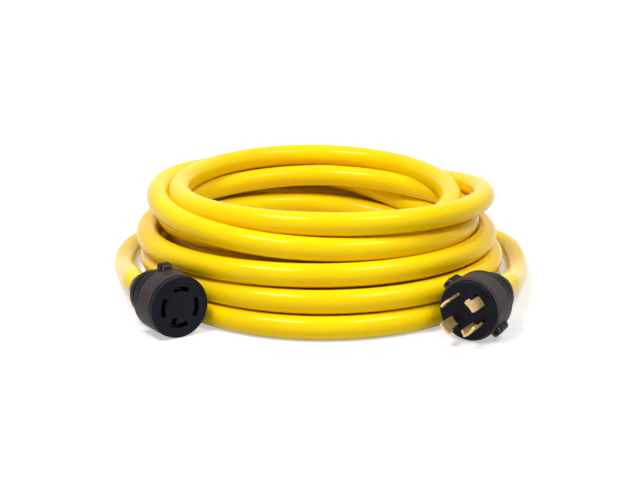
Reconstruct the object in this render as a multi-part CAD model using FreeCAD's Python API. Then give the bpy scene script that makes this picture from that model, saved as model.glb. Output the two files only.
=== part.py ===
# Shore power cord: four conductor cord in a coil, with a locking plug and a locking connector
import FreeCAD
import Part
import math
import os
from FreeCAD import Placement, Rotation, Vector

# Cord and coil, in millimetres; the coil's centre stands behind the two ends
cord_d = 17.8
coil_centre_x = -0.624
coil_centre_y = 133.62
coil_half_width = 142.0
coil_half_depth = 148.0
coil_top_half_width = 136.0
coil_top_half_depth = 132.0
coil_layers = 5
coil_hole_half_width = 86.0
coil_hole_half_depth = 88.0
coil_edge = 6.0
cord_arc_share = 0.45

# Where each end lies, measured from the coil's centre, and how it is turned
connector_x = -100.6
connector_y = -145.3
connector_yaw = 33.6
connector_roll = -6.0
plug_x = 105.3
plug_y = -153.5
plug_yaw = -29.0
plug_roll = 46.0
exit_run = 14.0

# Housing shared by both ends; z is 0 at the face and falls towards the cord
barrel_r = 23.2
barrel_length = 28.5
shell_wall = 3.1
rear_wall = 2.5
rear_bore_r = 18.6
neck_r = 16.4
rib_count = 7
rib_pitch = 2.4
rib_groove_width = 1.0
rib_groove_depth = 0.8
rib_front_gap = 2.2
edge_round = 1.4
fit_clearance = 0.1
cut_over = 1.0

# Ears for the assembly screws: two on the plug, screwed from the front, and one on the connector, from behind
connector_ear_angle = 94.0
connector_ear_gap = 16.5
connector_ear_length = 8.5
connector_ear_ramp = 0.0
connector_ear_reach = 27.5
connector_screw_length = 3.5
plug_ear_angle = 96.0
plug_ear_gap = 5.0
plug_ear_length = 13.0
plug_ear_ramp = 5.0
plug_ear_reach = 27.0
plug_screw_length = 7.0
ear_width = 10.0
ear_corner = 2.4
screw_circle_r = 24.9
screw_r = 1.0
screw_head_r = 1.5
screw_head_height = 1.8
screw_seat_depth = 3.2
screw_tip_gap = 0.8
screw_socket_r = 0.8
screw_socket_depth = 1.0

# Face inserts and the plate behind them
face_flange = 3.0
face_depth = 20.5
connector_face_r = 22.9
plug_face_r = 21.6
face_round = 1.0
plate_thickness = 2.5

# Blade and slot pattern: four curved blades on one circle
blade_circle_r = 13.7
blade_thickness = 1.7
blade_length = 19.0
blade_tip_round = 1.2
hook_height = 7.0
hook_width = 2.2
slot_clearance = 0.9
ground_foot_length = 3.6
leaf_thickness = 0.7
leaf_gap = 0.15
leaf_front = 7.0
pocket_gap = 0.25
pole_names = ("neutral", "hot_x", "ground", "hot_y")
pole_wires = ("white", "black", "green", "red")
pole_angles = (90.0, 180.0, 270.0, 0.0)
blade_widths = (8.8, 9.8, 10.8, 9.8)
slot_spans = (42.0, 50.0, 53.0, 53.0)

# Crimps and conductors inside the ends
crimp_offset = 2.4
crimp_r = 3.1
crimp_length = 6.0
conductor_r = 2.3
core_circle_r = 4.2
jacket_end = 44.0
core_straight_length = 2.5
core_clearance = 0.4

# Strain relief
relief_r = 17.5
relief_length = 29.5
relief_taper = 13.0
relief_nose_r = 11.6
relief_round = 3.0
relief_groove_count = 3
relief_groove_start = 5.0
relief_groove_width = 1.4
relief_groove_depth = 0.9
relief_flange = 2.4

# Values that follow from the driving dimensions
cord_r = cord_d / 2
coil_centre = Vector(coil_centre_x, coil_centre_y, 0)
coil_height = coil_layers * cord_d
shell_bore_r = barrel_r - shell_wall
relief_end = barrel_length + relief_length
shoulder = face_depth + plate_thickness
slot_half_width = blade_thickness / 2 + slot_clearance
leaf_inset = blade_thickness / 2 + leaf_gap
crimp_circle_r = blade_circle_r - crimp_offset
Z_AXIS = Vector(0, 0, 1)

# What differs between the two ends
connector_layout = {
    "name": "connector",
    "yaw": connector_yaw,
    "roll": connector_roll,
    "face_at": Vector(connector_x, connector_y, 0),
    "ear_angles": (connector_ear_angle,),
    "ear_gap": connector_ear_gap,
    "ear_length": connector_ear_length,
    "ear_ramp": connector_ear_ramp,
    "ear_reach": connector_ear_reach,
    "screw_length": connector_screw_length,
    "head_at_rear": True,
}
plug_layout = {
    "name": "plug",
    "yaw": plug_yaw,
    "roll": plug_roll,
    "face_at": Vector(plug_x, plug_y, 0),
    "ear_angles": (plug_ear_angle, plug_ear_angle + 180),
    "ear_gap": plug_ear_gap,
    "ear_length": plug_ear_length,
    "ear_ramp": plug_ear_ramp,
    "ear_reach": plug_ear_reach,
    "screw_length": plug_screw_length,
    "head_at_rear": False,
}

# Cord routes outside the coil, measured from the coil's centre; each starts at the end's strain relief
plug_route = [
    (148.5, -63, 17.5), (156, -26, 12), (161, 8, 8.9), (164, 42, 8.9), (163, 76, 8.9),
    (149, 107, 8.9), (121, 129, 8.9), (89, 139, 8.9), (62, 141, 8.9), (34, 136, 8.9),
]
connector_route = [
    (-145, -64, 21.5), (-151.5, -35, 16.5), (-157.5, -5, 11.5), (-162, 26, 8.9), (-164, 57, 8.9),
    (-159, 89, 8.9), (-144, 118, 8.9), (-116, 140, 8.9), (-82, 153, 8.9), (-48, 160, 10),
    (-16, 162, 15), (10, 161, 23), (38, 155, 29.5), (66, 141, 29), (84, 108, 28),
]


def rounded_path(points, radii, closed=False):
    """Edges of straight runs joined by tangent arcs, one radius for each corner."""
    count = len(points)
    ends = []
    for i, corner in enumerate(points):
        inner = closed or 0 < i < count - 1
        if not inner or radii[i] <= 0:
            ends.append((corner, corner, None))
            continue
        to_last = (points[i - 1] - corner).normalize()
        to_next = (points[(i + 1) % count] - corner).normalize()
        half = to_last.getAngle(to_next) / 2
        reach = radii[i] / math.tan(half)
        middle = (to_last + to_next).normalize()
        bend = corner + middle * (radii[i] / math.sin(half) - radii[i])
        ends.append((corner + to_last * reach, corner + to_next * reach, bend))
    edges = []
    for i, (start, end, bend) in enumerate(ends):
        if bend is not None:
            edges.append(Part.Arc(start, bend, end).toShape())
        if closed or i < count - 1:
            following = ends[(i + 1) % count][0]
            if (following - end).Length > 1e-6:
                edges.append(Part.LineSegment(end, following).toShape())
    return Part.Wire(edges)


def turned(profile, radii=None):
    """A solid of revolution about z; the profile is a list of radius and height."""
    points = [Vector(r, 0, z) for r, z in profile]
    wire = rounded_path(points, radii or [0] * len(points), closed=True)
    return Part.Face(wire).revolve(Vector(0, 0, 0), Z_AXIS, 360)


def cylinder(radius, low, high, x=0.0, y=0.0):
    return Part.makeCylinder(radius, high - low, Vector(x, y, low))


def on_circle(radius, angle, z=0.0):
    turn = math.radians(angle)
    return Vector(radius * math.cos(turn), radius * math.sin(turn), z)


def curved_band(r_in, r_out, start, end, low, high):
    """A curved plate about z between two angles, in degrees."""
    middle = (start + end) / 2
    edges = [
        Part.Arc(on_circle(r_out, start), on_circle(r_out, middle), on_circle(r_out, end)).toShape(),
        Part.LineSegment(on_circle(r_out, end), on_circle(r_in, end)).toShape(),
        Part.Arc(on_circle(r_in, end), on_circle(r_in, middle), on_circle(r_in, start)).toShape(),
        Part.LineSegment(on_circle(r_in, start), on_circle(r_out, start)).toShape(),
    ]
    face = Part.Face(Part.Wire(edges))
    face.translate(Vector(0, 0, low))
    return face.extrude(Vector(0, 0, high - low))


def radial_block(r_in, r_out, angle, width, low, high):
    """A block whose middle plane holds z and the given angle."""
    block = Part.makeBox(r_out - r_in, width, high - low, Vector(r_in, -width / 2, low))
    block.rotate(Vector(0, 0, 0), Z_AXIS, angle)
    return block


def tube(points, radius):
    """A round tube along straight runs joined by arcs; returns it with its length and bend radii."""
    runs = [(points[i + 1] - points[i]).Length for i in range(len(points) - 1)]
    radii = [0.0] * len(points)
    for i in range(1, len(points) - 1):
        turn = (points[i] - points[i - 1]).getAngle(points[i + 1] - points[i])
        radii[i] = cord_arc_share * min(runs[i - 1], runs[i]) / math.tan(turn / 2)
    path = rounded_path(points, radii)
    along = (points[1] - points[0]).normalize()
    ring = Part.Wire([Part.makeCircle(radius, points[0], along)])
    shell = Part.BRepOffsetAPI.MakePipeShell(path)
    shell.add(ring)
    shell.build()
    shell.makeSolid()
    return shell.shape(), path.Length, radii[1:-1]


def ear(layout, angle):
    """One ear with its ramp towards the cord, before the screw hole is drilled."""
    front = -face_flange - layout["ear_gap"]
    rear = front - layout["ear_length"]
    reach = layout["ear_reach"]
    root = barrel_r - shell_wall / 2
    outline = [
        Vector(root, 0, front),
        Vector(reach, 0, front),
        Vector(reach, 0, rear),
        Vector(root, 0, rear - layout["ear_ramp"]),
    ]
    radii = [0, edge_round, ear_corner, 0]
    block = Part.Face(rounded_path(outline, radii, closed=True)).extrude(Vector(0, ear_width, 0))
    block.translate(Vector(0, -ear_width / 2, 0))
    long_edges = [e for e in block.Edges if min(v.X for v in e.Vertexes) > reach - 0.01]
    block = block.makeFillet(ear_corner, long_edges)
    block.rotate(Vector(0, 0, 0), Z_AXIS, angle)
    return block


def screw_part(layout, angle, radius, start, end):
    """Cylinder on an ear's screw axis; the lengths run from the head's seat towards the tip."""
    at = on_circle(screw_circle_r, angle)
    front = -face_flange - layout["ear_gap"]
    if layout["head_at_rear"]:
        seat = front - layout["ear_length"] + screw_seat_depth
        return cylinder(radius, seat + start, seat + end, at.x, at.y)
    seat = front - screw_seat_depth
    return cylinder(radius, seat - end, seat - start, at.x, at.y)


def housing(layout):
    """Ribbed barrel with an open front, a shouldered bore, a rear wall and its ears."""
    front = -face_flange
    rear = -barrel_length
    profile = [(shell_bore_r, front), (barrel_r, front), (barrel_r, rear), (neck_r + fit_clearance, rear)]
    profile += [(neck_r + fit_clearance, rear + rear_wall), (rear_bore_r, rear + rear_wall)]
    profile += [(rear_bore_r, -shoulder), (shell_bore_r, -shoulder)]
    shell = turned(profile, [0, edge_round / 2, edge_round, 0, 0, 0, 0, 0])
    grooves = []
    for i in range(rib_count):
        top = front - rib_front_gap - i * rib_pitch
        low = top - rib_groove_width
        bottom = barrel_r - rib_groove_depth
        slope = rib_groove_width / 4
        groove = [(bottom, low + slope), (barrel_r + cut_over, low - slope)]
        groove += [(barrel_r + cut_over, top + slope), (bottom, top - slope)]
        grooves.append(turned(groove))
    shell = shell.cut(grooves)
    bore = turned([(0, 0), (shell_bore_r, 0), (shell_bore_r, rear), (0, rear)])
    for angle in layout["ear_angles"]:
        lug = ear(layout, angle).cut(bore)
        hole_length = layout["screw_length"] + screw_tip_gap
        hole = screw_part(layout, angle, screw_r + fit_clearance, 0, hole_length)
        recess = screw_part(layout, angle, screw_head_r + fit_clearance, -screw_seat_depth - cut_over, 0)
        shell = shell.fuse(lug).cut([hole, recess])
    return shell.removeSplitter()


def lug_screws(layout):
    """The screws in an end's ears, each with a socket in its head."""
    screws = []
    for angle in layout["ear_angles"]:
        screw = screw_part(layout, angle, screw_head_r, -screw_head_height, 0)
        screw = screw.fuse(screw_part(layout, angle, screw_r, 0, layout["screw_length"]))
        socket_end = screw_socket_depth - screw_head_height
        screws.append(screw.cut(screw_part(layout, angle, screw_socket_r, -screw_head_height, socket_end)))
    return Part.makeCompound(screws)


def strain_relief():
    """Moulded relief: a flange inside the shell, a neck through its wall and a tapered collar."""
    wall_front = rear_wall - barrel_length
    flange_r = rear_bore_r - fit_clearance
    straight_end = -(relief_end - relief_taper)
    bore_r = cord_r + fit_clearance
    room_r = crimp_circle_r + crimp_r + core_clearance
    room_end = -(shoulder + crimp_length + core_clearance)
    profile = [(bore_r, -relief_end), (relief_nose_r, -relief_end), (relief_r, straight_end)]
    profile += [(relief_r, -barrel_length), (neck_r, -barrel_length), (neck_r, wall_front)]
    profile += [(flange_r, wall_front), (flange_r, wall_front + relief_flange)]
    profile += [(room_r, wall_front + relief_flange), (room_r, room_end), (bore_r, -jacket_end)]
    body = turned(profile, [0, face_round, relief_round, edge_round, 0, 0, 0, 0, 0, 0, 0])
    for i in range(relief_groove_count):
        top = -barrel_length - relief_groove_start - i * 2 * relief_groove_width
        low = top - relief_groove_width
        ring = [(relief_r - relief_groove_depth, low), (relief_r + cut_over, low), (relief_r + cut_over, top)]
        body = body.cut(turned(ring + [(relief_r - relief_groove_depth, top)]))
    return body


def face_disc(radius):
    """Face insert: a flange over the shell's rim and a spigot in its bore."""
    spigot_r = shell_bore_r - fit_clearance
    profile = [(0, 0), (radius, 0), (radius, -face_flange), (spigot_r, -face_flange)]
    profile += [(spigot_r, -face_depth), (0, -face_depth)]
    return turned(profile, [0, face_round, 0, 0, 0, 0])


def pole_ends(pole, span, grow):
    """Start and end angle of one pole's curve, with a clearance at each end."""
    half = span / 2 + math.degrees(grow / blade_circle_r)
    return pole_angles[pole] - half, pole_angles[pole] + half


def pole_shape(pole, grow, span, low, high):
    """The section of one blade or slot; the ground one has a foot turned inwards at one end."""
    start, end = pole_ends(pole, span, grow)
    half = blade_thickness / 2 + grow
    r_in = blade_circle_r - half
    shape = curved_band(r_in, blade_circle_r + half, start, end, low, high)
    if pole_names[pole] != "ground":
        return shape
    foot_angle = start + math.degrees(half / blade_circle_r)
    foot = radial_block(r_in - ground_foot_length, r_in + half, foot_angle, 2 * half, low, high)
    return shape.fuse(foot).removeSplitter()


def blade_span(pole):
    return math.degrees(blade_widths[pole] / blade_circle_r)


def crimp(pole, high):
    """Open barrel that grips the bare end of one conductor."""
    at = on_circle(crimp_circle_r, pole_angles[pole])
    low = -shoulder - crimp_length
    barrel = cylinder(crimp_r, low, high, at.x, at.y)
    return barrel.cut(cylinder(conductor_r + fit_clearance, low, -shoulder, at.x, at.y))


def blade(pole):
    """Locking blade: a curved plate with a hook at its tip, a stem in the face and a crimp behind."""
    span = blade_span(pole)
    shape = pole_shape(pole, 0, span, -face_depth, blade_length)
    notch_span = math.degrees(hook_width / blade_circle_r)
    notch_start = pole_angles[pole] + span / 2 - notch_span
    reach = blade_thickness
    notch = curved_band(
        blade_circle_r - reach, blade_circle_r + reach, notch_start, notch_start + 2 * notch_span,
        -face_depth, blade_length - hook_height,
    )
    shape = shape.cut(notch)
    tips = [e for e in shape.Edges if is_tip_corner(e, pole, span)]
    if tips:
        shape = shape.makeFillet(blade_tip_round, tips)
    return shape.fuse(crimp(pole, -face_depth)).removeSplitter()


def is_tip_corner(edge, pole, span):
    """Short radial edges at the blade's tip, at either end of its curve."""
    at = edge.CenterOfMass
    if abs(at.z - blade_length) > 1e-3 or abs(edge.Length - blade_thickness) > 1e-3:
        return False
    angle = math.degrees(math.atan2(at.y, at.x)) - pole_angles[pole]
    off = abs((angle + 180) % 360 - 180)
    return abs(off - span / 2) < 0.5


def contact(pole):
    """Spring contact: curved leaves either side of the blade's path, a base and a crimp behind."""
    start, end = pole_ends(pole, slot_spans[pole], slot_clearance)
    inner_start = pole_angles[pole] if pole_names[pole] == "ground" else start
    inner = blade_circle_r - leaf_inset
    outer = blade_circle_r + leaf_inset
    back = -face_depth
    leaves = [
        curved_band(outer, outer + leaf_thickness, start, end, back, -leaf_front),
        curved_band(inner - leaf_thickness, inner, inner_start, end, back, -leaf_front),
        curved_band(inner - leaf_thickness, outer + leaf_thickness, start, end, back, back + leaf_thickness),
    ]
    shape = leaves[0].fuse(leaves[1:])
    return shape.fuse(crimp(pole, back)).removeSplitter()


def connector_face():
    """Socket face: four curved slots, each with a pocket behind it for its contact."""
    disc = face_disc(connector_face_r)
    half = leaf_inset + leaf_thickness + pocket_gap
    behind = -face_depth - cut_over
    for pole in range(len(pole_names)):
        span = slot_spans[pole]
        disc = disc.cut(pole_shape(pole, slot_clearance, span, behind, cut_over))
        start, end = pole_ends(pole, span, slot_clearance + pocket_gap)
        pocket = curved_band(blade_circle_r - half, blade_circle_r + half, start, end, behind, -face_flange)
        disc = disc.cut(pocket)
    return disc.removeSplitter()


def plug_face():
    """Plug face: the blades pass through it in close slots."""
    disc = face_disc(plug_face_r)
    behind = -face_depth - cut_over
    for pole in range(len(pole_names)):
        disc = disc.cut(pole_shape(pole, fit_clearance / 2, blade_span(pole), behind, cut_over))
    return disc.removeSplitter()


def back_plate():
    """Insulating plate behind the face, seated on the shell's shoulder, with the crimps through it."""
    plate = cylinder(shell_bore_r - fit_clearance, -shoulder, -face_depth)
    holes = []
    for angle in pole_angles:
        at = on_circle(crimp_circle_r, angle)
        holes.append(cylinder(crimp_r + fit_clearance, -shoulder - cut_over, 0, at.x, at.y))
    return plate.cut(holes)


def conductor(pole):
    """Insulated core from the end of the jacket to its crimp."""
    angle = pole_angles[pole]
    start = on_circle(core_circle_r, angle, -jacket_end)
    mouth = on_circle(crimp_circle_r, angle, -shoulder - crimp_length)
    after_start = start + Z_AXIS * core_straight_length
    before_mouth = mouth - Z_AXIS * core_straight_length
    core = tube([start, after_start, before_mouth, mouth], conductor_r)[0]
    gripped = cylinder(conductor_r, mouth.z, -shoulder, mouth.x, mouth.y)
    return core.fuse(gripped).removeSplitter()


def placed(shape, yaw, roll, face_at, height):
    """Turns an end from its own frame, face up, to where it lies with its face to the front."""
    roll_turn = Rotation(Z_AXIS, roll)
    tip_turn = Rotation(Vector(1, 0, 0), 90)
    yaw_turn = Rotation(Z_AXIS, yaw)
    base = face_at + coil_centre + Vector(0, 0, height)
    moved = shape.copy()
    moved.Placement = Placement(base, yaw_turn.multiply(tip_turn).multiply(roll_turn))
    return moved


def rest_height(shell, yaw, roll):
    """Height of an end's axis when its lowest point touches the ground."""
    return -placed(shell, yaw, roll, Vector(0, 0, 0), 0).optimalBoundingBox(False, False).ZMin


def oval_band(half_width, half_depth, z):
    ring = Part.Ellipse(Vector(0, 0, z), max(half_width, half_depth), min(half_width, half_depth)).toShape()
    if half_depth > half_width:
        ring.rotate(Vector(0, 0, z), Z_AXIS, 90)
    return Part.Wire([ring])


def coil():
    """The outer shape of the coil: an oval ring that narrows a little to the top."""
    grow_w = coil_half_width - coil_top_half_width
    grow_d = coil_half_depth - coil_top_half_depth
    outside = []
    inside = []
    for z, inset in ((0, coil_edge), (cord_r, 0), (coil_height - cord_r, 0), (coil_height, coil_edge)):
        up = z / coil_height
        half_width = coil_half_width - grow_w * up - inset
        half_depth = coil_half_depth - grow_d * up - inset
        outside.append(oval_band(half_width, half_depth, z))
        inside.append(oval_band(coil_hole_half_width + inset, coil_hole_half_depth + inset, z))
    ring = Part.makeLoft(outside, True, True).cut(Part.makeLoft(inside, True, True))
    ring.translate(coil_centre)
    return ring


def tail(route, exit_at, exit_along, coil_ring):
    """Free cord from an end's jacket stop to the coil, cut where it meets the coil's outside."""
    inside = exit_at - exit_along * (relief_end - jacket_end)
    first = exit_at + exit_along * exit_run
    points = [inside, first] + [Vector(*p) + coil_centre for p in route]
    whole, length, radii = tube(points, cord_r)
    drift = whole.Volume / (math.pi * cord_r ** 2 * length) - 1
    print("tail length %.1f, volume off by %.4f" % (length, drift), "radii", [round(r) for r in radii])
    pieces = whole.cut(coil_ring).Solids
    return max(pieces, key=lambda solid: solid.Volume)


def end_pieces(layout, pole_kind, pole_piece, face):
    """Every piece of one end, in its place, with the point and direction where the cord leaves."""
    shell = housing(layout)
    local = {
        "shell": shell,
        "face": face(),
        "back_plate": back_plate(),
        "strain_relief": strain_relief(),
        "lug_screws": lug_screws(layout),
    }
    for pole, pole_name in enumerate(pole_names):
        local[pole_kind + "_" + pole_name] = pole_piece(pole)
        local["conductor_" + pole_wires[pole]] = conductor(pole)
    yaw = layout["yaw"]
    name = layout["name"]
    height = rest_height(shell, yaw, layout["roll"])
    where = (yaw, layout["roll"], layout["face_at"], height)
    pieces = {name + "_" + key: placed(shape, *where) for key, shape in local.items()}
    backwards = Vector(-math.sin(math.radians(yaw)), math.cos(math.radians(yaw)), 0)
    exit_at = layout["face_at"] + coil_centre + Vector(0, 0, height) + backwards * relief_end
    print(name, "axis height %.3f" % height, "exit", [round(v, 2) for v in exit_at - coil_centre])
    return pieces, exit_at, backwards


def build():
    connector = end_pieces(connector_layout, "contact", contact, connector_face)
    plug = end_pieces(plug_layout, "blade", blade, plug_face)
    ring = coil()
    pieces = dict(connector[0])
    pieces.update(plug[0])
    pieces["cord_coil"] = ring
    pieces["cord_tail_connector"] = tail(connector_route, connector[1], connector[2], ring)
    pieces["cord_tail_plug"] = tail(plug_route, plug[1], plug[2], ring)
    return pieces


def main():
    os.makedirs("parts", exist_ok=True)
    pieces = build()
    ends = FreeCAD.BoundBox()
    for node, shape in sorted(pieces.items()):
        if not shape.isValid():
            print("invalid", node)
        if not node.startswith("cord_"):
            ends.add(shape.optimalBoundingBox(False, False))
        shape.exportStep("parts/%s.step" % node)
        print("%-30s solids %d volume %.1f" % (node, len(shape.Solids), shape.Volume))
    print("middle of the ends %.3f %.3f, lowest %.3f" % (ends.Center.x, ends.Center.y, ends.ZMin))


main()
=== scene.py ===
# Shore power cord: camera, coiled cord, materials, light and floor around the fixed frame
import bpy
import math
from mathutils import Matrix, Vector


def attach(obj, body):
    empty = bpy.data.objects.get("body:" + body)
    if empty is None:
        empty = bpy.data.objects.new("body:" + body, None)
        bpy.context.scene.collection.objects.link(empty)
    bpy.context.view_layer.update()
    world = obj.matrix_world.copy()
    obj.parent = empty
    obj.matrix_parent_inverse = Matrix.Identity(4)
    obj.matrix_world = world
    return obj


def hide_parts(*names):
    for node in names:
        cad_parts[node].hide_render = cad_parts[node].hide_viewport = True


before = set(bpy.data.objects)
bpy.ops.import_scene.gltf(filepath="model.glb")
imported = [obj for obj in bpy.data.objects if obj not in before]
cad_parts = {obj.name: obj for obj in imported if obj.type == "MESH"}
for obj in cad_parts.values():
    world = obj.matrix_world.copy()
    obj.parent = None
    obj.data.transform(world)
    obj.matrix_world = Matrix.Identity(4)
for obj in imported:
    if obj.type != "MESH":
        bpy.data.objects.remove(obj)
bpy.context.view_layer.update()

# Sizes and places are in metres, angles in degrees, lamps in watts
CORD_D = 0.0178
CORD_R = CORD_D / 2
COIL_CENTRE = Vector((-0.000624, 0.13362, 0))

# Camera, measured from the coil's centre
CAMERA_AT = Vector((0, -1.167, 0.348))
CAMERA_PITCH = 74.96
CAMERA_LENS = 83.76
CAMERA_NEAR = 0.05
SENSOR_WIDTH = 36.0

# Where the cord leaves each strain relief, and the turn of each end about the upright
PLUG_EXIT = Vector((0.13280, 0.03085, 0.0232))
PLUG_YAW = -29.0
CONNECTOR_EXIT = Vector((-0.13332, 0.03663, 0.0232))
CONNECTOR_YAW = 33.6

# How far the cord starts inside a relief, and how far it runs straight out of it
SEATED = 0.006
RUN_OUT = 0.014

# Free cord outside the coil, as in the part's source, measured from the coil's centre
PLUG_ROUTE = [
    (0.1485, -0.063, 0.0175), (0.156, -0.026, 0.012), (0.161, 0.008, 0.0089), (0.164, 0.042, 0.0089),
    (0.163, 0.076, 0.0089), (0.149, 0.107, 0.0089), (0.121, 0.129, 0.0089), (0.089, 0.139, 0.0089),
    (0.062, 0.141, 0.0089), (0.034, 0.136, 0.0089),
]
CONNECTOR_ROUTE = [
    (-0.145, -0.064, 0.0215), (-0.1515, -0.035, 0.0165), (-0.1575, -0.005, 0.0115), (-0.162, 0.026, 0.0089),
    (-0.164, 0.057, 0.0089), (-0.159, 0.089, 0.0089), (-0.144, 0.118, 0.0089), (-0.116, 0.140, 0.0089),
    (-0.082, 0.153, 0.0089), (-0.048, 0.160, 0.010), (-0.016, 0.162, 0.015), (0.010, 0.161, 0.023),
    (0.038, 0.155, 0.0295), (0.066, 0.141, 0.029),
]

# Each turn of the coil as it was laid: angle, reach from the centre and height
# An angle of 90 is the back and 270 the front
TURNS = [
    [(90, 0.127, 0.0089), (135, 0.114, 0.0089), (180, 0.109, 0.0089), (270, 0.113, 0.0089),
     (360, 0.104, 0.0089)],
    [(90, 0.105, 0.021), (180, 0.104, 0.026), (270, 0.110, 0.0263), (330, 0.116, 0.0255),
     (360, 0.115, 0.025), (405, 0.112, 0.028)],
    [(90, 0.110, 0.0385), (180, 0.111, 0.0423), (270, 0.114, 0.0438), (360, 0.104, 0.0428),
     (410, 0.1145, 0.046)],
    [(90, 0.1265, 0.0605), (135, 0.135, 0.0735), (180, 0.130, 0.075), (270, 0.129, 0.062),
     (360, 0.118, 0.057), (375, 0.1165, 0.0595), (410, 0.1065, 0.0625)],
    [(90, 0.107, 0.0645), (135, 0.112, 0.062), (180, 0.122, 0.0595), (225, 0.1175, 0.059),
     (270, 0.110, 0.0613), (360, 0.105, 0.071)],
    [(90, 0.121, 0.080), (180, 0.1123, 0.078), (270, 0.122, 0.079), (360, 0.1315, 0.074),
     (400, 0.132, 0.0655)],
    [(90, 0.143, 0.0585), (180, 0.139, 0.045), (270, 0.136, 0.0445), (360, 0.133, 0.044)],
    [(90, 0.1355, 0.0425), (180, 0.136, 0.027), (225, 0.1365, 0.0267), (270, 0.143, 0.0265),
     (360, 0.138, 0.027)],
    [(90, 0.1305, 0.0267), (180, 0.133, 0.009), (225, 0.138, 0.0089), (270, 0.149, 0.0089),
     (360, 0.137, 0.0089), (405, 0.147, 0.010)],
]
TURN_STEP = 15

# Share of its own point and of both neighbours in a quadratic spline beside a control point
OWN_SHARE = 0.75
NEAR_SHARE = 0.25

# How finely the cord's curve and its round section are drawn
CURVE_STEPS = 8
SECTION_STEPS = 10

# Finishes: a darker and a lighter tone, and the lowest and highest roughness
JACKET = ((0.94, 0.62, 0.0), (0.98, 0.69, 0.001), 0.15, 0.21)
HOUSING = ((0.004, 0.003, 0.004), (0.008, 0.006, 0.008), 0.34, 0.46)
FACE = ((0.004, 0.004, 0.009), (0.007, 0.008, 0.016), 0.34, 0.46)
RELIEF = ((0.004, 0.003, 0.004), (0.008, 0.007, 0.008), 0.34, 0.46)
PLATE = ((0.05, 0.05, 0.05), (0.08, 0.08, 0.08), 0.45, 0.6)
BLADE = ((0.66, 0.43, 0.16), (0.80, 0.56, 0.25), 0.26, 0.36)
# The contacts' brass is darkened: painted shade for the recesses behind the slots
CONTACT_SHADED = ((0.12, 0.08, 0.03), (0.18, 0.12, 0.05), 0.30, 0.40)
SCREW = ((0.03, 0.03, 0.035), (0.06, 0.06, 0.065), 0.35, 0.50)
CORES = {
    "white": (0.80, 0.80, 0.78),
    "black": (0.02, 0.02, 0.02),
    "green": (0.02, 0.30, 0.06),
    "red": (0.55, 0.02, 0.02),
}
CORE_ROUGHNESS = (0.34, 0.5)
JACKET_SPECULAR = 0.12
MOULDED_SPECULAR = 0.10
BLADE_METALLIC = 0.6

# Noises for tones and for roughness: scale and detail
JACKET_WAVE = (14.0, 2.0)
JACKET_GRAIN = (420.0, 4.0)
MOULDED_WAVE = (60.0, 2.0)
HOUSING_GRAIN = (1300.0, 3.0)
FACE_GRAIN = (1600.0, 3.0)
RELIEF_GRAIN = (1100.0, 3.0)
PLATE_GRAIN = (900.0, 3.0)
METAL_WAVE = (90.0, 3.0)
METAL_GRAIN = (300.0, 1.0)
CORE_GRAIN = (300.0, 3.0)

# Depth and strength of the jacket's bump
JACKET_BUMP = (0.00001, 0.3)

# Where a noise's values start and end between the two tones, and between the two roughnesses
TONE_BAND = (0.35, 0.65)
ROUGHNESS_BAND = (0.3, 0.7)

# The ribs' painted highlight on their edges: its colour, and its share by how squarely a wall looks forward
RIB_HIGHLIGHT = (0.38, 0.29, 0.28)
RIB_HIGHLIGHT_SHARES = [(0.86, 0.0), (0.94, 1.0), (0.985, 0.12)]

# Light: the world's strength on surfaces, and the lamps, placed and aimed from the coil's centre
AMBIENT = 0.26
LAMP_SIZE = (0.6, 0.35)
LAMP_AIM = Vector((0, 0, 0.04))
KEY_AT = Vector((-0.5, -0.5, 1.3))
KEY_POWER = 15.5
FILL_AT = Vector((0.6, -0.45, 1.25))
FILL_POWER = 9.5

# Floor: its half width, its tone, and its glow at two distances from the origin
FLOOR_HALF = 6.0
FLOOR_TONE = 0.62
FLOOR_ROUGHNESS = 0.9
GLOW_NEAR = (0.30, 0.48)
GLOW_FAR = (1.20, 1.0)


def add_camera():
    data = bpy.data.cameras.new("camera")
    data.sensor_width = SENSOR_WIDTH
    data.lens = CAMERA_LENS
    data.clip_start = CAMERA_NEAR
    camera = bpy.data.objects.new("camera", data)
    camera.location = COIL_CENTRE + CAMERA_AT
    camera.rotation_euler = (math.radians(CAMERA_PITCH), 0, 0)
    bpy.context.scene.collection.objects.link(camera)
    bpy.context.scene.camera = camera


def backwards(yaw):
    """The way in which the cord leaves an end that is turned by yaw."""
    turn = math.radians(yaw)
    return Vector((-math.sin(turn), math.cos(turn), 0))


def hermite(before, start, end, after, column, at):
    """One value of the laid turns at an angle between two of their stations."""
    span = end[0] - start[0]
    t = (at - start[0]) / span
    slope_start = (end[column] - before[column]) / (end[0] - before[0]) * span
    slope_end = (after[column] - start[column]) / (after[0] - start[0]) * span
    ease = t * t * (3 - 2 * t)
    bow = t * (1 - t)
    eased = start[column] + (end[column] - start[column]) * ease
    return eased + bow * ((1 - t) * slope_start - t * slope_end)


def coil_points():
    """Control points of the coil's turns, set out so far that the curve between them keeps its reach."""
    stations = []
    for i, turn in enumerate(TURNS):
        stations += [(360 * i + angle, reach, height) for angle, reach, height in turn]
    widen = 1 / (OWN_SHARE + NEAR_SHARE * math.cos(math.radians(TURN_STEP)))
    points = []
    low = 0
    for angle in range(stations[0][0], stations[-1][0] + 1, TURN_STEP):
        while low < len(stations) - 2 and angle >= stations[low + 1][0]:
            low += 1
        near = [stations[max(low - 1, 0)], stations[low], stations[low + 1]]
        near.append(stations[min(low + 2, len(stations) - 1)])
        reach = hermite(*near, 1, angle) * widen
        height = max(hermite(*near, 2, angle), CORD_R)
        turn = math.radians(angle)
        points.append(Vector((reach * math.cos(turn), reach * math.sin(turn), height)) + COIL_CENTRE)
    return points


def end_points(exit_at, yaw, route):
    """Control points from inside a strain relief along the free cord."""
    along = backwards(yaw)
    points = [exit_at - along * SEATED, exit_at + along * RUN_OUT]
    return points + [Vector(p) + COIL_CENTRE for p in route]


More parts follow.
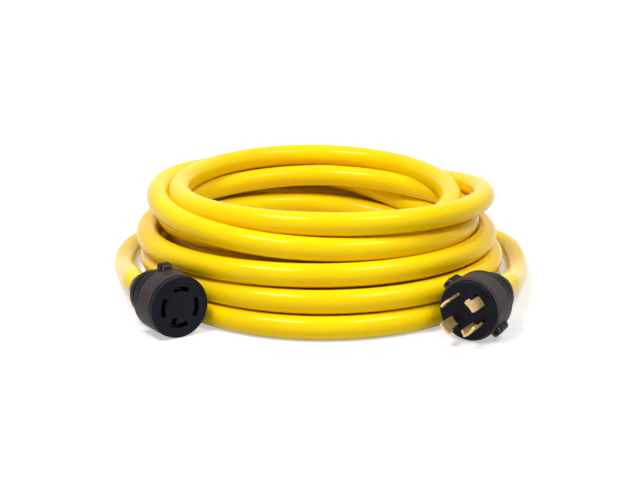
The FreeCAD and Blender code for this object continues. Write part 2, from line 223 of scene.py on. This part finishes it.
def add_cord(material):
    """The whole cord as one curve: from the plug through the coil's turns to the connector."""
    plug_side = end_points(PLUG_EXIT, PLUG_YAW, PLUG_ROUTE)
    connector_side = end_points(CONNECTOR_EXIT, CONNECTOR_YAW, CONNECTOR_ROUTE)
    points = plug_side + coil_points() + connector_side[::-1]
    curve = bpy.data.curves.new("cord", "CURVE")
    curve.dimensions = "3D"
    spline = curve.splines.new("NURBS")
    spline.points.add(len(points) - 1)
    for target, point in zip(spline.points, points):
        target.co = (*point, 1)
    spline.order_u = 3
    spline.use_endpoint_u = True
    spline.resolution_u = CURVE_STEPS
    curve.bevel_depth = CORD_R
    curve.bevel_resolution = SECTION_STEPS
    curve.use_fill_caps = True
    curve.materials.append(material)
    cord = bpy.data.objects.new("cord", curve)
    bpy.context.scene.collection.objects.link(cord)
    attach(cord, "root")
    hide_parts("cord_coil", "cord_tail_plug", "cord_tail_connector")


def new_material(name, colour, roughness, metallic=0.0, specular=0.5):
    """A material with its principled shader's plain values set."""
    material = bpy.data.materials.new(name)
    material.use_nodes = True
    shader = material.node_tree.nodes["Principled BSDF"]
    shader.inputs["Base Color"].default_value = (*colour, 1)
    shader.inputs["Roughness"].default_value = roughness
    shader.inputs["Metallic"].default_value = metallic
    shader.inputs["Specular IOR Level"].default_value = specular
    return material


def add_noise(material, scale, detail):
    """Noise in the object's own space."""
    nodes = material.node_tree.nodes
    links = material.node_tree.links
    place = nodes.new("ShaderNodeTexCoord")
    noise = nodes.new("ShaderNodeTexNoise")
    noise.inputs["Scale"].default_value = scale
    noise.inputs["Detail"].default_value = detail
    links.new(place.outputs["Object"], noise.inputs["Vector"])
    return noise.outputs["Fac"]


def vary_colour(material, source, dark, light):
    """The base colour runs between two tones by a noise."""
    nodes = material.node_tree.nodes
    ramp = nodes.new("ShaderNodeValToRGB")
    for element, position, tone in zip(ramp.color_ramp.elements, TONE_BAND, (dark, light)):
        element.position = position
        element.color = (*tone, 1)
    material.node_tree.links.new(source, ramp.inputs["Fac"])
    material.node_tree.links.new(ramp.outputs["Color"], nodes["Principled BSDF"].inputs["Base Color"])
    return ramp.outputs["Color"]


def vary_roughness(material, source, low, high):
    """The roughness runs from low to high by a noise."""
    nodes = material.node_tree.nodes
    spread = nodes.new("ShaderNodeMapRange")
    spread.inputs["From Min"].default_value = ROUGHNESS_BAND[0]
    spread.inputs["From Max"].default_value = ROUGHNESS_BAND[1]
    spread.inputs["To Min"].default_value = low
    spread.inputs["To Max"].default_value = high
    material.node_tree.links.new(source, spread.inputs["Value"])
    material.node_tree.links.new(spread.outputs["Result"], nodes["Principled BSDF"].inputs["Roughness"])


def add_bump(material, source, height, strength):
    nodes = material.node_tree.nodes
    bump = nodes.new("ShaderNodeBump")
    bump.inputs["Distance"].default_value = height
    bump.inputs["Strength"].default_value = strength
    material.node_tree.links.new(source, bump.inputs["Height"])
    material.node_tree.links.new(bump.outputs["Normal"], nodes["Principled BSDF"].inputs["Normal"])


def jacket_material():
    """Smooth, semi-gloss moulded jacket with slow changes of tone and a very fine grain."""
    dark, light, low, high = JACKET
    material = new_material("jacket_yellow", light, (low + high) / 2, specular=JACKET_SPECULAR)
    vary_colour(material, add_noise(material, *JACKET_WAVE), dark, light)
    grain = add_noise(material, *JACKET_GRAIN)
    vary_roughness(material, grain, low, high)
    add_bump(material, grain, *JACKET_BUMP)
    return material


def paint_rib_highlights(material, tone, forward):
    """Painted highlight: the ribs' walls that look forward are lighter."""
    nodes = material.node_tree.nodes
    links = material.node_tree.links
    geometry = nodes.new("ShaderNodeNewGeometry")
    facing = nodes.new("ShaderNodeVectorMath")
    facing.operation = "DOT_PRODUCT"
    facing.inputs[1].default_value = forward
    links.new(geometry.outputs["Normal"], facing.inputs[0])
    share = nodes.new("ShaderNodeValToRGB")
    stops = share.color_ramp.elements
    for i, (position, level) in enumerate(RIB_HIGHLIGHT_SHARES):
        stop = stops[i] if i < len(stops) else stops.new(position)
        stop.position = position
        stop.color = (level, level, level, 1)
    links.new(facing.outputs["Value"], share.inputs["Fac"])
    mix = nodes.new("ShaderNodeMix")
    mix.data_type = "RGBA"
    mix.inputs["B"].default_value = (*RIB_HIGHLIGHT, 1)
    links.new(share.outputs["Color"], mix.inputs["Factor"])
    links.new(tone, mix.inputs["A"])
    links.new(mix.outputs["Result"], nodes["Principled BSDF"].inputs["Base Color"])


def moulded(name, finish, grain, forward=None):
    """Moulded plastic; a ribbed piece gives its forward direction, which places its painted rib highlight.
    """
    dark, light, low, high = finish
    material = new_material(name, light, (low + high) / 2, specular=MOULDED_SPECULAR)
    tone = vary_colour(material, add_noise(material, *MOULDED_WAVE), dark, light)
    vary_roughness(material, add_noise(material, *grain), low, high)
    if forward:
        paint_rib_highlights(material, tone, forward)
    return material


def metal(name, finish, metallic=1.0):
    dark, light, low, high = finish
    material = new_material(name, light, (low + high) / 2, metallic=metallic)
    vary_colour(material, add_noise(material, *METAL_WAVE), dark, light)
    vary_roughness(material, add_noise(material, *METAL_GRAIN), low, high)
    return material


def insulation(name, colour):
    low, high = CORE_ROUGHNESS
    material = new_material(name, colour, (low + high) / 2)
    vary_roughness(material, add_noise(material, *CORE_GRAIN), low, high)
    return material


def set_material(node, material):
    node.data.materials.clear()
    node.data.materials.append(material)


def dress_frame():
    """The fixed pieces keep their shape and get their finish by what their names say."""
    housing = {
        "plug": moulded("housing_plug", HOUSING, HOUSING_GRAIN, -backwards(PLUG_YAW)),
        "connector": moulded("housing_connector", HOUSING, HOUSING_GRAIN, -backwards(CONNECTOR_YAW)),
    }
    cores = {colour: insulation("insulation_" + colour, tone) for colour, tone in CORES.items()}
    finishes = {
        "face": moulded("face_black", FACE, FACE_GRAIN),
        "strain_relief": moulded("relief_black", RELIEF, RELIEF_GRAIN),
        "back_plate": moulded("plate_grey", PLATE, PLATE_GRAIN),
        "blade": metal("blade_brass", BLADE, BLADE_METALLIC),
        "contact": metal("contact_brass", CONTACT_SHADED),
        "lug_screws": metal("screw_steel", SCREW),
    }
    for name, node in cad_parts.items():
        if name.startswith("cord_"):
            continue
        end, piece = name.split("_", 1)
        kind = piece if piece in finishes else piece.split("_")[0]
        if kind == "shell":
            set_material(node, housing[end])
        elif kind == "conductor":
            set_material(node, cores[piece.split("_")[1]])
        else:
            set_material(node, finishes[kind])


def add_lamp(name, at, power):
    data = bpy.data.lights.new(name, "AREA")
    data.shape = "RECTANGLE"
    data.size, data.size_y = LAMP_SIZE
    data.energy = power
    lamp = bpy.data.objects.new(name, data)
    lamp.location = COIL_CENTRE + at
    lamp.rotation_euler = (COIL_CENTRE + LAMP_AIM - lamp.location).to_track_quat("-Z", "Y").to_euler()
    bpy.context.scene.collection.objects.link(lamp)


def seen_directly(nodes, links):
    """1 for camera, glossy and transmission rays, 0 for the light that reaches surfaces."""
    path = nodes.new("ShaderNodeLightPath")
    first = nodes.new("ShaderNodeMath")
    first.operation = "MAXIMUM"
    second = nodes.new("ShaderNodeMath")
    second.operation = "MAXIMUM"
    links.new(path.outputs["Is Camera Ray"], first.inputs[0])
    links.new(path.outputs["Is Glossy Ray"], first.inputs[1])
    links.new(first.outputs["Value"], second.inputs[0])
    links.new(path.outputs["Is Transmission Ray"], second.inputs[1])
    return second.outputs["Value"]


def add_world():
    """White to the camera and in reflections, and a weaker light to surfaces."""
    world = bpy.data.worlds.new("studio")
    bpy.context.scene.world = world
    world.use_nodes = True
    nodes = world.node_tree.nodes
    links = world.node_tree.links
    background = nodes["Background"]
    background.inputs["Color"].default_value = (1, 1, 1, 1)
    level = nodes.new("ShaderNodeMapRange")
    level.inputs["To Min"].default_value = AMBIENT
    level.inputs["To Max"].default_value = 1.0
    links.new(seen_directly(nodes, links), level.inputs["Value"])
    links.new(level.outputs["Result"], background.inputs["Strength"])


def floor_material():
    """White that glows a little to the camera, so that the floor is white and still takes shadows."""
    tone = (FLOOR_TONE, FLOOR_TONE, FLOOR_TONE)
    material = new_material("floor_white", tone, FLOOR_ROUGHNESS, specular=0.0)
    nodes = material.node_tree.nodes
    links = material.node_tree.links
    shader = nodes["Principled BSDF"]
    shader.inputs["Emission Color"].default_value = (1, 1, 1, 1)
    place = nodes.new("ShaderNodeTexCoord")
    away = nodes.new("ShaderNodeVectorMath")
    away.operation = "LENGTH"
    links.new(place.outputs["Object"], away.inputs[0])
    rise = nodes.new("ShaderNodeMapRange")
    rise.inputs["From Min"].default_value, rise.inputs["To Min"].default_value = GLOW_NEAR
    rise.inputs["From Max"].default_value, rise.inputs["To Max"].default_value = GLOW_FAR
    links.new(away.outputs["Value"], rise.inputs["Value"])
    glow = nodes.new("ShaderNodeMath")
    glow.operation = "MULTIPLY"
    links.new(seen_directly(nodes, links), glow.inputs[0])
    links.new(rise.outputs["Result"], glow.inputs[1])
    links.new(glow.outputs["Value"], shader.inputs["Emission Strength"])
    return material


def add_floor():
    mesh = bpy.data.meshes.new("floor")
    corners = [
        (-FLOOR_HALF, -FLOOR_HALF, 0), (FLOOR_HALF, -FLOOR_HALF, 0),
        (FLOOR_HALF, FLOOR_HALF, 0), (-FLOOR_HALF, FLOOR_HALF, 0),
    ]
    mesh.from_pydata(corners, [], [(0, 1, 2, 3)])
    floor = bpy.data.objects.new("floor", mesh)
    bpy.context.scene.collection.objects.link(floor)
    mesh.materials.append(floor_material())


add_camera()
add_cord(jacket_material())
dress_frame()
add_world()
add_lamp("key", KEY_AT, KEY_POWER)
add_lamp("fill", FILL_AT, FILL_POWER)
add_floor()

bpy.context.scene.view_settings.view_transform = "Standard"
